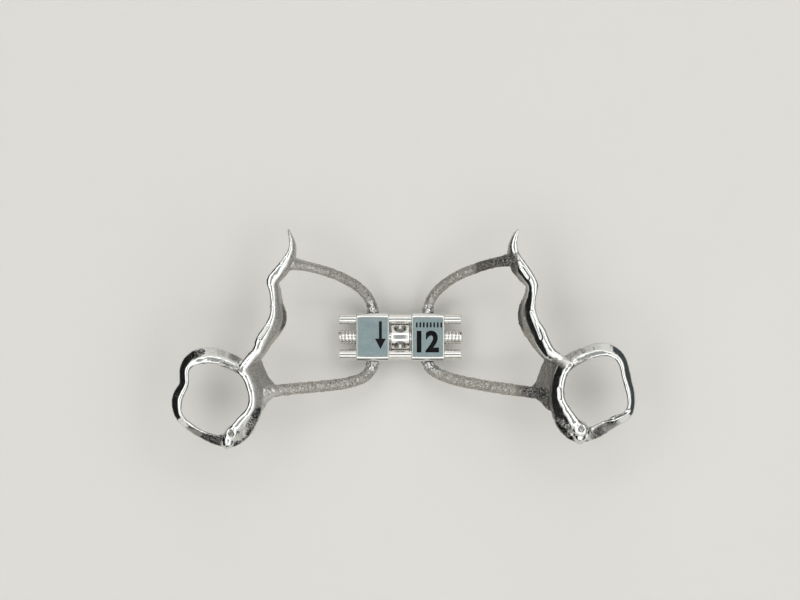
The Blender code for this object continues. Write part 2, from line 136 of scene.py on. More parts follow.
# Each card in the ring spans from one bearing to the next, in degrees from +X towards +Y, and has a height
# in mm. The gap behind, at 270 degrees, keeps the round pins bright. The pale card that hangs behind the
# camera draws the thin slate line along the rounded tops.
for name, colour, first, last, height in (
    ("card_front_left", CARD_BLACK, 109, 156, 400),
    ("card_left", CARD_BLACK, 156, 222, 400),
    ("card_rear_left", CARD_BLACK, 240, 268.6, 280),
    ("card_rear_right", CARD_BLACK, 271.4, 286, 280),
    ("card_right", CARD_DARK, 318, 386, 290),
    ("card_front_right", CARD_DARK, 386, 432, 290),
):
    bearing = math.radians((first + last) / 2)
    width = 2 * CARD_RING * math.tan(math.radians((last - first) / 2))
    place = (CARD_RING * math.cos(bearing), CARD_RING * math.sin(bearing), CARD_FOOT + height * MM / 2)
    add_card(name, colour, place, (math.pi / 2, 0, bearing + math.pi / 2), (width, height * MM))
add_card("card_round_lens", CARD_ABOVE, LENS_PLACE, (0, 0, 0), LENS_SIZE)

bpy.ops.object.light_add(type="AREA", location=(0, VIEW_MIDDLE_Y, LAMP_HEIGHT), rotation=(0, 0, 0))
lamp = bpy.context.object
lamp.name = "soft_lamp_above"
lamp.data.size = LAMP_SIZE
lamp.data.energy = LAMP_POWER
lamp.visible_camera = False

room = bpy.data.worlds.new("pale_room")
room.use_nodes = True
room.node_tree.nodes["Background"].inputs["Color"].default_value = srgb(ROOM_COLOUR)
room.node_tree.nodes["Background"].inputs["Strength"].default_value = ROOM_LIGHT
bpy.context.scene.world = room

# The expansion spindle: one piece turned from stainless steel. Its hub has two crossing key holes, and its
# shanks carry fine threads of opposite hand, so that each turn of the hub drives both halves apart.
THREAD_PITCH = 0.4 * MM
THREAD_DEPTH = 0.17 * MM
ROOT_FLAT = 0.1
CREST_FLAT = 0.46
CREST_ROUNDING = 0.15 * THREAD_DEPTH
THREAD_STEPS = 48
LEAD_IN_TURNS = 2
SPARE_TURNS = 4
SHANK_RADIUS = 0.88 * MM
SHANK_CHAMFER = 0.2 * MM
CHAMFER_STEPS = 2
BLANK_OVERSIZE = 1.01
HUB_RADIUS = 1.42 * MM
HUB_LENGTH = 2.16 * MM
HUB_EDGE = 0.1 * MM
NECK_RADIUS = 0.66 * MM
NECK_LENGTH = 0.16 * MM
NECK_OVERLAP = 0.1 * MM
KEY_HOLE_RADIUS = 0.62 * MM
KEY_HOLE_FLARE = 0.14 * MM
KEY_HOLE_TILT = math.radians(45)
KEY_HOLE_STEPS = 64
ROUND_STEPS = 96
EDGE_STEPS = 3
SMOOTH_ANGLE = math.radians(35)
SAME_PLACE = 1e-6
SAME_POINT = 1e-7
FACING = 0.999


def deselect():
    """Leave nothing selected, so that the next operator acts on its own piece alone."""
    bpy.ops.object.select_all(action="DESELECT")


def activate(piece):
    """Select one piece and make it the active one."""
    deselect()
    piece.select_set(True)
    bpy.context.view_layer.objects.active = piece


def add_round(name, radius, length, centre, steps=ROUND_STEPS, turn=(0, math.pi / 2, 0)):
    """Add a cylinder along X, or along the way that its turn gives, and fix its place in its mesh."""
    deselect()
    bpy.ops.mesh.primitive_cylinder_add(
        vertices=steps, radius=radius, depth=length, location=centre, rotation=turn
    )
    piece = bpy.context.object
    piece.name = name
    bpy.ops.object.transform_apply(location=True, rotation=True, scale=True)
    return piece


def edit(piece, mode, wanted):
    """Enter edit mode with the faces or edges that meet the wish selected, and nothing else."""
    activate(piece)
    bpy.ops.object.mode_set(mode="EDIT")
    bpy.ops.mesh.select_mode(type=mode)
    bpy.ops.mesh.select_all(action="DESELECT")
    bpy.ops.object.mode_set(mode="OBJECT")
    parts = piece.data.polygons if mode == "FACE" else piece.data.edges
    for part in parts:
        part.select = wanted(part)
    bpy.ops.object.mode_set(mode="EDIT")


def leave_edit():
    """Go back to object mode."""
    bpy.ops.object.mode_set(mode="OBJECT")


def every(part):
    """Wish for each face or edge of a piece."""
    return True


def edge_ends(piece, edge):
    """Return the two ends of an edge."""
    return [piece.data.vertices[index].co for index in edge.vertices]


def merge_doubles(piece):
    """Join the points of a piece that lie in one place, and stay in edit mode."""
    edit(piece, "FACE", every)
    bpy.ops.mesh.remove_doubles(threshold=SAME_POINT)


def turn_outwards():
    """Make all faces of the piece in edit mode look outwards."""
    bpy.ops.mesh.select_all(action="SELECT")
    bpy.ops.mesh.normals_make_consistent(inside=False)


def apply_modifier(piece, kind, **settings):
    """Add a modifier with its settings and apply it."""
    activate(piece)
    modifier = piece.modifiers.new(kind.lower(), kind)
    for key, value in settings.items():
        setattr(modifier, key, value)
    bpy.ops.object.modifier_apply(modifier=modifier.name)


def combine(piece, tool, operation):
    """Join a shape to a piece or cut it away, then remove the shape."""
    apply_modifier(piece, "BOOLEAN", operation=operation, solver="EXACT", object=tool)
    bpy.data.objects.remove(tool, do_unlink=True)


def round_end_edges(piece, offset):
    """Bevel the rims at both ends of a piece that lies along X."""
    places = [vertex.co.x for vertex in piece.data.vertices]
    limits = (min(places), max(places))

    def on_rim(edge):
        ends = edge_ends(piece, edge)
        return any(all(abs(end.x - limit) < SAME_PLACE for end in ends) for limit in limits)

    edit(piece, "EDGE", on_rim)
    bpy.ops.mesh.bevel(offset=offset, segments=EDGE_STEPS, affect="EDGES")
    leave_edit()


def smooth(piece):
    """Shade a finished piece smooth but for its sharp edges, with its large faces kept flat or straight."""
    activate(piece)
    bpy.ops.object.shade_smooth_by_angle(angle=SMOOTH_ANGLE)
    apply_modifier(piece, "WEIGHTED_NORMAL", keep_sharp=True)


hub = add_round("spindle_hub", HUB_RADIUS, HUB_LENGTH, screw_centre)
round_end_edges(hub, HUB_EDGE)
for way in (-1, 1):
    edit(hub, "FACE", lambda face: face.normal.x * way > FACING)
    bpy.ops.mesh.inset(thickness=HUB_RADIUS - HUB_EDGE - NECK_RADIUS)
    bpy.ops.mesh.extrude_region_move(
        TRANSFORM_OT_translate={"value": (way * (NECK_LENGTH + NECK_OVERLAP), 0, 0)}
    )
    leave_edit()

for tilt in (KEY_HOLE_TILT, -KEY_HOLE_TILT):
    reach = HUB_RADIUS - KEY_HOLE_FLARE
    cutter = add_round(
        "key_hole_drill", KEY_HOLE_RADIUS, 2 * reach, screw_centre, KEY_HOLE_STEPS, (tilt, 0, 0)
    )
    way = Matrix.Rotation(tilt, 3, "X") @ Vector((0, 0, 1))
    for side in (-1, 1):
        edit(cutter, "FACE", lambda face: face.normal.dot(way) * side > FACING)
        bpy.ops.mesh.extrude_region_move(
            TRANSFORM_OT_translate={"value": way * side * 2 * KEY_HOLE_FLARE}
        )
        growth = 1 + 2 * KEY_HOLE_FLARE / KEY_HOLE_RADIUS
        bpy.ops.transform.resize(value=(growth, growth, growth))
        leave_edit()
    combine(hub, cutter, "DIFFERENCE")


def add_shank(way):
    """Add one threaded shank: a pitch of its profile, screwed about X, within a chamfered blank."""
    start = HUB_LENGTH / 2 + NECK_LENGTH
    end = spindle_high.x - screw_centre.x
    turns = math.ceil((end - start) / THREAD_PITCH) + SPARE_TURNS
    root = SHANK_RADIUS - THREAD_DEPTH
    root_end = ROOT_FLAT * THREAD_PITCH / 2
    crest_start = (1 - CREST_FLAT) * THREAD_PITCH / 2
    middle = THREAD_PITCH / 2
    stations = (
        (0, root),
        (root_end, root),
        (crest_start, SHANK_RADIUS - CREST_ROUNDING),
        (middle, SHANK_RADIUS),
        (THREAD_PITCH - crest_start, SHANK_RADIUS - CREST_ROUNDING),
        (THREAD_PITCH - root_end, root),
        (THREAD_PITCH, root),
    )
    first = start - LEAD_IN_TURNS * THREAD_PITCH
    profile = bpy.data.meshes.new("spindle_shank")
    points = [(way * (first + x), radius, 0) for x, radius in stations]
    profile.from_pydata(points, [(index, index + 1) for index in range(len(points) - 1)], [])
    shank = bpy.data.objects.new("spindle_shank", profile)
    bpy.context.scene.collection.objects.link(shank)
    apply_modifier(
        shank,
        "SCREW",
        axis="X",
        angle=-2 * math.pi,
        screw_offset=way * THREAD_PITCH,
        iterations=turns,
        steps=THREAD_STEPS,
        render_steps=THREAD_STEPS,
    )
    shank.location = screw_centre
    activate(shank)
    bpy.ops.object.transform_apply(location=True, rotation=True, scale=True)
    merge_doubles(shank)
    for cut, side in ((start - THREAD_PITCH / 2, -1), (end + THREAD_PITCH / 2, 1)):
        bpy.ops.mesh.select_all(action="SELECT")
        bpy.ops.mesh.bisect(
            plane_co=(screw_centre.x + way * cut, 0, 0),
            plane_no=(way * side, 0, 0),
            use_fill=True,
            clear_outer=True,
        )
    turn_outwards()
    leave_edit()
    blank_centre = screw_centre + Vector((way * (start + end) / 2, 0, 0))
    blank = add_round("spindle_blank", SHANK_RADIUS * BLANK_OVERSIZE, end - start, blank_centre)
    rim = screw_centre.x + way * end

    def on_rim(edge):
        return all(abs(point.x - rim) < SAME_PLACE for point in edge_ends(blank, edge))

    edit(blank, "EDGE", on_rim)
    bpy.ops.mesh.bevel(offset=SHANK_CHAMFER, segments=CHAMFER_STEPS, affect="EDGES")
    leave_edit()
    combine(shank, blank, "INTERSECT")
    return shank


shanks = [add_shank(way) for way in (-1, 1)]
activate(hub)
for shank in shanks:
    shank.select_set(True)
bpy.ops.object.join()
hub.name = "spindle_turned"
smooth(hub)

# Stainless steel 1.4301, turned bright: a neutral mirror with faint rings from the tool, drawn further
# apart than they are so that they show. A wave texture repeats itself every tenth of pi over its scale.
TURNED_COLOUR = "#F2F1EE"
TURNED_DULL = "#D6D5D1"
STAINS_PER_MM = 0.9
TOOL_RINGS = 0.377 * MM
WAVE_PERIOD = math.pi / 10
GROOVE_DEPTH = 0.004 * MM
turned_steel, tree, shader = new_material("stainless_steel_turned")
shader.inputs["Metallic"].default_value = 1.0
coords = add_node(tree, "ShaderNodeTexCoord")
rings = add_node(
    tree,
    "ShaderNodeTexWave",
    {
        "wave_type": "BANDS",
        "bands_direction": "X",
        "Scale": WAVE_PERIOD / TOOL_RINGS,
        "Distortion": 0.6,
        "Detail": 2.0,
    },
    {"Vector": coords.outputs["Object"]},
)
stains = add_node(
    tree,
    "ShaderNodeTexNoise",
    {"Scale": STAINS_PER_MM / MM, "Detail": 4.0},
    {"Vector": coords.outputs["Object"]},
)
tint = add_node(
    tree,
    "ShaderNodeMix",
    {"data_type": "RGBA", 6: srgb(TURNED_COLOUR), 7: srgb(TURNED_DULL)},
    {0: stains.outputs["Fac"]},
)
tree.links.new(tint.outputs[2], shader.inputs["Base Color"])
gloss = add_node(
    tree,
    "ShaderNodeMapRange",
    {"From Min": 0.3, "From Max": 0.7, "To Min": 0.1, "To Max": 0.2},
    {"Value": stains.outputs["Fac"]},
)
tree.links.new(gloss.outputs["Result"], shader.inputs["Roughness"])
groove = add_node(
    tree, "ShaderNodeBump", {"Strength": 0.15, "Distance": GROOVE_DEPTH}, {"Height": rings.outputs["Fac"]}
)
tree.links.new(groove.outputs["Normal"], shader.inputs["Normal"])
hub.data.materials.clear()
hub.data.materials.append(turned_steel)
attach(hub, "spindle")
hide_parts("expansion_spindle")

# The two guide pins: ground stainless rods with small rounded ends, fixed in neither half, so that both
# halves slide along them without turning.
PIN_EDGE = 0.1 * MM
PIN_STEPS = 72
for label in ("front", "rear"):
    low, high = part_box(label + "_guide_pin")
    pin = add_round(
        label + "_pin_ground", (high.y - low.y) / 2, high.x - low.x, (low + high) / 2, PIN_STEPS
    )
    round_end_edges(pin, PIN_EDGE)
    smooth(pin)
    pin.data.materials.append(turned_steel)
    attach(pin, "guide_pins")
    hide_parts(label + "_guide_pin")

# The two halves of the screw's body: blocks milled from stainless steel, bored for the pins and tapped for
# the spindle, polished all over but for the matt top that the laser marks.
BODY_CORNER = 0.53 * MM
CORNER_STEPS = 10
BODY_EDGE = 0.12 * MM
MARKED_INSET = 0.09 * MM
BORE_CLEARANCE = 0.02 * MM
BODY_COLOUR = "#ECECE9"
BODY_DULL = "#D3D5D4"
SCRATCHES_PER_MM = 9
SCRATCH_STRETCH = (0.12, 1.0, 1.0)
SCRATCH_DEPTH = 0.004 * MM
body_polished, tree, shader = new_material("stainless_steel_polished")
shader.inputs["Metallic"].default_value = 1.0
coords = add_node(tree, "ShaderNodeTexCoord")
stretch = add_node(
    tree, "ShaderNodeMapping", {"Scale": SCRATCH_STRETCH}, {"Vector": coords.outputs["Object"]}
)
scratches = add_node(
    tree,
    "ShaderNodeTexNoise",
    {"Scale": SCRATCHES_PER_MM / MM, "Detail": 3.0},
    {"Vector": stretch.outputs["Vector"]},
)
tint = add_node(
    tree,
    "ShaderNodeMix",
    {"data_type": "RGBA", 6: srgb(BODY_COLOUR), 7: srgb(BODY_DULL)},
    {0: scratches.outputs["Fac"]},
)
tree.links.new(tint.outputs[2], shader.inputs["Base Color"])
shader.inputs["Roughness"].default_value = 0.14
polish_lines = add_node(
    tree,
    "ShaderNodeBump",
    {"Strength": 0.12, "Distance": SCRATCH_DEPTH},
    {"Height": scratches.outputs["Fac"]},
)
tree.links.new(polish_lines.outputs["Normal"], shader.inputs["Normal"])

# Blasted steel for the marked top: blue-grey and matt, with a fine even speckle about 0.06 mm across.
BLASTED_DARK = "#7F9093"
BLASTED_PALE = "#99A7A9"
SPECKLES_PER_MM = 9
CLOUDS_PER_MM = 1.1
CLOUD_SHARE = 0.35
FROST_DEPTH = 0.006 * MM
body_blasted, tree, shader = new_material("stainless_steel_blasted")
shader.inputs["Metallic"].default_value = 1.0
coords = add_node(tree, "ShaderNodeTexCoord")
speckle = add_node(
    tree,
    "ShaderNodeTexNoise",
    {"Scale": SPECKLES_PER_MM / MM, "Detail": 5.0},
    {"Vector": coords.outputs["Object"]},
)
clouding = add_node(
    tree,
    "ShaderNodeTexNoise",
    {"Scale": CLOUDS_PER_MM / MM, "Detail": 2.0},
    {"Vector": coords.outputs["Object"]},
)
blend = add_node(
    tree,
    "ShaderNodeMix",
    {"data_type": "FLOAT", 0: CLOUD_SHARE},
    {2: speckle.outputs["Fac"], 3: clouding.outputs["Fac"]},
)
tint = add_node(
    tree,
    "ShaderNodeMapRange",
    {"From Min": 0.3, "From Max": 0.7},
    {"Value": blend.outputs[0]},
)
colour = add_node(
    tree,
    "ShaderNodeMix",
    {"data_type": "RGBA", 6: srgb(BLASTED_DARK), 7: srgb(BLASTED_PALE)},
    {0: tint.outputs["Result"]},
)
tree.links.new(colour.outputs[2], shader.inputs["Base Color"])
shader.inputs["Roughness"].default_value = 0.42
frost = add_node(
    tree, "ShaderNodeBump", {"Strength": 0.3, "Distance": FROST_DEPTH}, {"Height": speckle.outputs["Fac"]}
)
tree.links.new(frost.outputs["Normal"], shader.inputs["Normal"])

# Laser-annealed black for the marks: an oxide skin, near-black, slightly broken at its edges.
MARK_COLOUR = "#08080A"
MARK_WORN = "#1C1B1F"
WEAR_PER_MM = 5
laser_black, tree, shader = new_material("laser_mark_black")
coords = add_node(tree, "ShaderNodeTexCoord")
wear = add_node(
    tree,
    "ShaderNodeTexNoise",
    {"Scale": WEAR_PER_MM / MM, "Detail": 4.0},
    {"Vector": coords.outputs["Object"]},
)
colour = add_node(
    tree,
    "ShaderNodeMix",
    {"data_type": "RGBA", 6: srgb(MARK_COLOUR), 7: srgb(MARK_WORN)},
    {0: wear.outputs["Fac"]},
)
tree.links.new(colour.outputs[2], shader.inputs["Base Color"])
shader.inputs["Roughness"].default_value = 0.6
shader.inputs["Specular IOR Level"].default_value = 0.12

for label in ("left", "right"):
    low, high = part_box(label + "_housing")
    middle = (low + high) / 2
    size = high - low
    deselect()
    bpy.ops.mesh.primitive_cube_add(size=1, location=middle)
    body = bpy.context.object
    body.name = label + "_body_milled"
    body.dimensions = size
    bpy.ops.object.transform_apply(location=True, rotation=True, scale=True)

    def runs_along_x(edge):
        ends = edge_ends(body, edge)
        return abs(ends[0].x - ends[1].x) > size.x / 2

    edit(body, "EDGE", runs_along_x)
    bpy.ops.mesh.bevel(offset=BODY_CORNER, segments=CORNER_STEPS, affect="EDGES")
    leave_edit()
    round_end_edges(body, BODY_EDGE)
    body.data.materials.append(body_polished)
    body.data.materials.append(body_blasted)
    edit(body, "FACE", lambda face: face.normal.z > FACING)
    bpy.ops.mesh.inset(thickness=MARKED_INSET)
    body.active_material_index = 1
    bpy.ops.object.material_slot_assign()
    leave_edit()
    for node in ("front_guide_pin", "rear_guide_pin", "expansion_spindle"):
        pin_low, pin_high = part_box(node)
        centre = (pin_low + pin_high) / 2
        centre.x = middle.x
        radius = SHANK_RADIUS if node == "expansion_spindle" else (pin_high.y - pin_low.y) / 2
        drill = add_round("drill", radius + BORE_CLEARANCE, 2 * size.x, centre, PIN_STEPS)
        combine(body, drill, "DIFFERENCE")
    smooth(body)
    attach(body, label + "_half")
    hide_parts(label + "_housing")

# The marks: an arrow that shows which way the key turns the hub, a plain number and a row of plain ticks,
# each a skin a few thousandths of a millimetre proud of the matt top.
MARK_PROUD = 0.006 * MM
MARK_SUNK = 0.02 * MM
ARROW_X = -2.27 * MM
ARROW_TAIL = 1.8 * MM
ARROW_NECK = -0.17 * MM
ARROW_TIP = -1.37 * MM
ARROW_SHAFT = 0.34 * MM
ARROW_HEAD = 1.25 * MM
ARROW_STEP = 0.01 * MM
NUMBER = "12"
NUMBER_BOLDNESS = 0.04
NUMBER_STEPS = 8
NUMBER_X = 3.16 * MM
NUMBER_Y = -0.51 * MM
NUMBER_SIZE = (2.55 * MM, 2.5 * MM)
TICK_COUNT = 8
TICK_SIZE = (0.2 * MM, 0.58 * MM)
TICK_STEP = 0.4 * MM
TICK_Y = 1.39 * MM
TICK_X = 3.29 * MM
mark_base = plate_top - MARK_SUNK


def finish_mark(mark, body):
    """Give a mark its black skin and let it ride with its half of the body."""
    mark.data.materials.clear()
    mark.data.materials.append(laser_black)
    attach(mark, body)


def thicken(mark):
    """Turn a flat mark on the plate into a skin, from just under the plate to just over it."""
    edit(mark, "FACE", every)
    bpy.ops.mesh.extrude_region_move(TRANSFORM_OT_translate={"value": (0, 0, MARK_PROUD + MARK_SUNK)})
    turn_outwards()
    leave_edit()


def starts_head(edge):
    """Wish for the lower end of the arrow's shaft."""
    neck = screw_centre.y + ARROW_NECK
    return all(abs(end.y - neck) < SAME_PLACE for end in edge_ends(arrow, edge))


deselect()
bpy.ops.mesh.primitive_plane_add(
    size=1, location=(ARROW_X, screw_centre.y + (ARROW_TAIL + ARROW_NECK) / 2, mark_base)
)
arrow = bpy.context.object
arrow.name = "turning_arrow"
arrow.scale = (ARROW_SHAFT, ARROW_TAIL - ARROW_NECK, 1)
bpy.ops.object.transform_apply(location=True, rotation=True, scale=True)
edit(arrow, "EDGE", starts_head)
bpy.ops.mesh.extrude_region_move(TRANSFORM_OT_translate={"value": (0, -ARROW_STEP, 0)})
bpy.ops.transform.resize(value=(ARROW_HEAD / ARROW_SHAFT, 1, 1))
bpy.ops.mesh.extrude_region_move(TRANSFORM_OT_translate={"value": (0, ARROW_TIP - ARROW_NECK, 0)})
bpy.ops.mesh.merge(type="CENTER")
leave_edit()
thicken(arrow)
finish_mark(arrow, "left_half")

deselect()
bpy.ops.object.text_add(location=(0, 0, 0))
number = bpy.context.object
number.name = "plain_number"
number.data.body = NUMBER
number.data.offset = NUMBER_BOLDNESS
number.data.resolution_u = NUMBER_STEPS
bpy.ops.object.convert(target="MESH")
corners = [vertex.co.copy() for vertex in number.data.vertices]
left, right = min(c.x for c in corners), max(c.x for c in corners)
bottom, top = min(c.y for c in corners), max(c.y for c in corners)
growth = (NUMBER_SIZE[0] / (right - left), NUMBER_SIZE[1] / (top - bottom), 1, 1)
number.data.transform(Matrix.Translation((-(left + right) / 2, -(bottom + top) / 2, 0)))
number.data.transform(Matrix.Diagonal(growth))
number.data.transform(Matrix.Translation((NUMBER_X, screw_centre.y + NUMBER_Y, mark_base)))
thicken(number)
finish_mark(number, "right_half")

deselect()
bpy.ops.mesh.primitive_plane_add(
    size=1,
    location=(TICK_X - TICK_STEP * (TICK_COUNT - 1) / 2, screw_centre.y + TICK_Y, mark_base),
)
ticks = bpy.context.object
ticks.name = "plain_ticks"
ticks.scale = (*TICK_SIZE, 1)
bpy.ops.object.transform_apply(location=True, rotation=True, scale=True)
apply_modifier(
    ticks,
    "ARRAY",
    count=TICK_COUNT,
    use_relative_offset=False,
    use_constant_offset=True,
    constant_offset_displace=(TICK_STEP, 0, 0),
)
thicken(ticks)
finish_mark(ticks, "right_half")

# The two frameworks: each a molar band, lingual strap, web, two arms and boss, laser-sintered in one piece
# from cobalt-chrome powder. The bands and ridges are polished by hand to a wavy mirror; the arms and the
# lower edges keep the grain of the powder, and the ends of the arms are fused to the body by laser welding.
VOXEL = 0.088 * MM
SMOOTH_PASSES = 4

# Where each finish starts and ends, in mm: across the two sides, along them, and in height.
STRAP_SIDE = {"left": (12.0, 12.5), "right": (12.9, 13.4)}
CHEEK_SIDE = {"left": (17.9, 19.4), "right": (18.6, 20.1)}
FRONT_ARM_SIDE = (8, 9)
TIP_START = (15.4, 16)
SHOULDER_START = (-3.4, -1.6)
FRONT_ARM_START = 11
WEB_END = 4.5
POLISH_HEIGHT = (-0.1, 0.5)
SHOULDER_TOP = (1.75, 2.1)
WELD_TOP = -3
WELD_REACH = (0.9, 1.5)

# How strong each finish is, as shares. A shoulder is a face that leans inwards by at least the first share.
SHOULDER_LEAN = (0.25, 0.5)
SHOULDER_SATIN = 0.8
FRONT_ARM_SATIN = 0.7
SATIN_POLISH = 0.25
SATIN_GRAIN = 0.15
# The dark shares of the right web and front arm are partly furnace oxide and partly painted shade.
WEB_OXIDE_AND_SHADE = 0.35
FRONT_ARM_OXIDE_AND_SHADE = 0.8
WELD_POLISH = 0.9
WELD_GRAIN = 0.45
WELD_OXIDE = 0.35

# How the surface is roughened: which points, the name of the pattern, and its grain and height in mm.
ROUGHENINGS = (
    ("polished", "hand_polish_waves", 1.1, 0.08),
    ("rough", "sintered_lumps", 0.45, 0.17),
    ("rough", "powder_grain", 0.2, 0.11),
    ("welded", "weld_spatter", 0.3, 0.36),
)

# Forms given one by one, in mm: where the stroke starts and ends, its reach, and how far it swells the metal
# or, below zero, hollows it. A stroke is full over the core of its reach and fades out from there. They give
# the weld beads on the bosses, the slots in the rims and ridges, and the bands' thick inner ledges.
STROKE_CORE = 0.3
TINY = 1e-9
HAND_FORMS = {
    "left": (
        ((-19.0, -4.5, 1.9), (-19.0, -4.5, 1.9), 0.95, 0.13),
        ((-19.1, -4.4, 2.1), (-18.95, -4.65, 2.1), 0.42, -0.22),
        ((-19.35, -5.65, 1.4), (-19.45, -5.85, 1.3), 0.8, 0.3),
        ((-15.75, 6.1, 0.98), (-14.85, 7.55, 0.87), 0.28, -0.14),
        ((-13.25, 14.55, 0.8), (-12.9, 15.1, 0.75), 0.28, -0.09),
        ((-24.35, -1.9, 1.9), (-23.9, -3.0, 1.85), 0.3, -0.08),
        ((-20.0, 3.2, 0.7), (-18.4, 2.4, 0.7), 1.0, 0.3),
    ),
    "right": (
        ((20.25, -3.97, 1.95), (20.25, -3.97, 1.95), 0.95, 0.13),
        ((20.3, -4.1, 2.15), (20.45, -3.9, 2.15), 0.4, -0.22),
        ((20.15, -5.2, 1.4), (20.2, -5.35, 1.3), 0.8, 0.28),
        ((19.2, -4.6, 1.65), (20.9, -4.75, 1.85), 0.26, -0.19),
        ((22.95, -3.0, 1.4), (24.0, -2.8, 1.8), 0.28, -0.16),
        ((24.0, -2.8, 1.8), (25.6, -2.0, 2.0), 0.28, -0.16),
        ((17.88, 0.45, 2.0), (17.95, -0.6, 2.06), 0.26, -0.14),
        ((13.7, 14.05, 0.75), (14.45, 13.0, 0.87), 0.28, -0.09),
        ((14.85, 9.1, 0.8), (15.9, 6.2, 0.88), 0.3, -0.1),
        ((19.3, 3.0, 0.7), (21.1, 4.1, 0.7), 1.0, 0.3),
    ),
}

# Touches of finish and of painted shade, in mm and shares: where the stroke starts and ends, its reach, and
# the polish, grain and dark share that it leaves. The dark share is partly oxide and partly painted shade
# and painted dark reflection on walls; above 1 it closes the gaps between the powder's dark grains.
FINISH_AND_SHADE_TOUCHES = {
    "left": (
        ((-21.3, 4.8, 1.0), (-20.4, 4.7, 1.0), 1.0, 0.65, 0.04, 0.0),
        ((-23.2, 4.1, 1.45), (-22.4, 4.6, 1.25), 0.6, 0.85, 0.0, 2.0),
        ((-20.0, 4.5, 1.0), (-19.4, 4.3, 1.0), 0.8, 0.4, 0.4, 0.0),
        ((-18.9, 4.0, 1.1), (-18.5, 3.8, 1.1), 0.7, 0.3, 1.0, 0.6),
        ((-15.6, 0.6, -0.7), (-14.8, -0.4, -0.7), 1.4, 0.6, 0.6, 0.0),
        ((-20.1, 3.45, 1.5), (-18.2, 2.6, 1.6), 0.5, 0.6, 0.1, 0.7),
        ((-16.0, -2.1, 1.45), (-16.9, -3.5, 1.45), 0.75, 0.75, 0.04, 1.2),
        ((-16.1, -3.0, 1.3), (-17.3, -5.2, 1.2), 0.5, 0.8, 0.3, 1.0),
        ((-17.3, -5.2, 1.2), (-19.0, -6.0, 0.9), 0.55, 0.8, 0.3, 1.0),
        ((-17.6, -4.0, 1.6), (-18.2, -4.9, 1.4), 0.7, 0.6, 0.7, 0.0),
        ((-19.05, -4.5, 2.0), (-19.0, -4.6, 2.0), 0.36, 0.2, 1.0, 0.7),
        ((-13.3, 9.3, -0.9), (-13.1, 7.4, -1.1), 1.1, 0.25, 1.0, 0.9),
        ((-23.7, -4.1, 1.2), (-22.7, -4.6, 1.2), 0.65, 0.15, 0.1, 0.0),
        ((-21.6, -4.95, 1.1), (-20.4, -5.4, 1.0), 0.9, 0.6, 0.4, 0.95),
        ((-19.9, -6.05, 0.8), (-18.7, -6.15, 0.8), 0.45, 0.35, 0.3, 2.0),
        ((-14.6, 9.7, 0.7), (-14.6, 9.7, 0.7), 0.25, 0.4, 1.0, 0.9),
        ((-12.7, 18.2, 0.45), (-12.55, 17.1, 0.45), 0.2, 0.7, 0.0, 1.0),
    ),
    "right": (
        ((16.85, 2.2, 1.0), (16.85, -2.8, 1.0), 0.75, 0.2, 0.5, 1.0),
        ((14.6, 0.1, -1.4), (16.9, -1.5, -1.2), 1.5, 0.3, 0.9, 0.9),
        ((16.2, -0.2, -0.9), (17.0, -2.2, -0.5), 1.1, 0.4, 0.6, 1.3),
        ((17.75, -3.8, 1.15), (19.0, -5.2, 1.05), 0.85, 0.8, 0.05, 2.0),
        ((12.6, 17.6, 0.38), (12.35, 16.4, 0.25), 0.3, 0.7, 0.1, 1.0),
        ((12.35, 17.0, 0.1), (12.3, 15.7, -0.1), 0.5, 0.7, 0.2, 1.0),
        ((12.7, 14.9, 0.2), (11.0, 14.7, -0.5), 1.2, 0.5, 1.0, 1.0),
        ((13.5, 9.8, -1.3), (13.6, 7.6, -1.5), 0.95, 0.3, 1.0, 0.9),
        ((17.5, 3.5, 1.1), (17.2, 3.0, 0.6), 0.7, 0.35, 1.0, 0.6),
        ((18.8, 3.7, 1.5), (18.3, 3.3, 1.4), 0.8, 0.4, 0.3, 0.0),
        ((18.9, 4.1, 1.2), (19.9, 4.5, 1.2), 0.9, 0.45, 0.7, 0.1),
        ((21.0, 4.9, 1.25), (22.0, 5.25, 1.2), 1.0, 0.65, 0.04, 0.0),
        ((19.3, 2.75, 1.55), (21.1, 4.1, 1.6), 0.4, 0.6, 0.2, 0.6),
        ((17.8, -3.2, 1.45), (19.2, -3.95, 1.75), 0.65, 0.75, 0.45, 0.3),
        ((20.35, -4.05, 2.1), (20.4, -3.95, 2.1), 0.34, 0.3, 1.0, 0.8),
        ((19.5, -5.5, 0.85), (20.9, -5.5, 0.85), 0.45, 0.35, 0.3, 2.0),
        ((21.8, -4.5, 0.6), (22.6, -4.2, 0.7), 1.2, 0.4, 1.0, 1.0),
        ((23.4, -4.0, 0.9), (24.4, -3.5, 1.1), 0.8, 0.35, 0.1, 0.0),
        ((23.4, -2.9, 1.6), (25.2, -2.25, 1.9), 0.2, 0.5, 0.8, 0.8),
    ),
}


def step_up(values, span):
    """Rise smoothly from 0 at the start of a span to 1 at its end."""
    share = np.clip((values - span[0]) / (span[1] - span[0]), 0, 1)
    return share * share * (3 - 2 * share)


def stroke(places, start, end, reach):
    """Weigh the places near a straight stroke or, where it has no length, near its point."""
    way = np.subtract(end, start)
    share = np.clip((places - start) @ way / max(way @ way, TINY), 0, 1)
    distance = np.linalg.norm(places - start - share[:, None] * way, axis=1)
    return 1 - step_up(distance, (STROKE_CORE * reach, reach))


def roughen(piece, group, pattern, grain, height):
    """Push a vertex group in and out by a cloud pattern with the given grain and height in mm."""
    texture = bpy.data.textures.new(pattern, "CLOUDS")
    texture.noise_scale = grain * MM
    texture.noise_depth = 2
    apply_modifier(
        piece,
        "DISPLACE",
        texture=texture,
        texture_coords="LOCAL",
        vertex_group=group,
        mid_level=0.5,
        strength=height * MM,
    )


def store(piece, name, values):
    """Keep one number for each point of a piece, for its material to read."""
    attribute = piece.data.attributes.new(name, "FLOAT", "POINT")
    attribute.data.foreach_set("value", values.astype(np.float32))
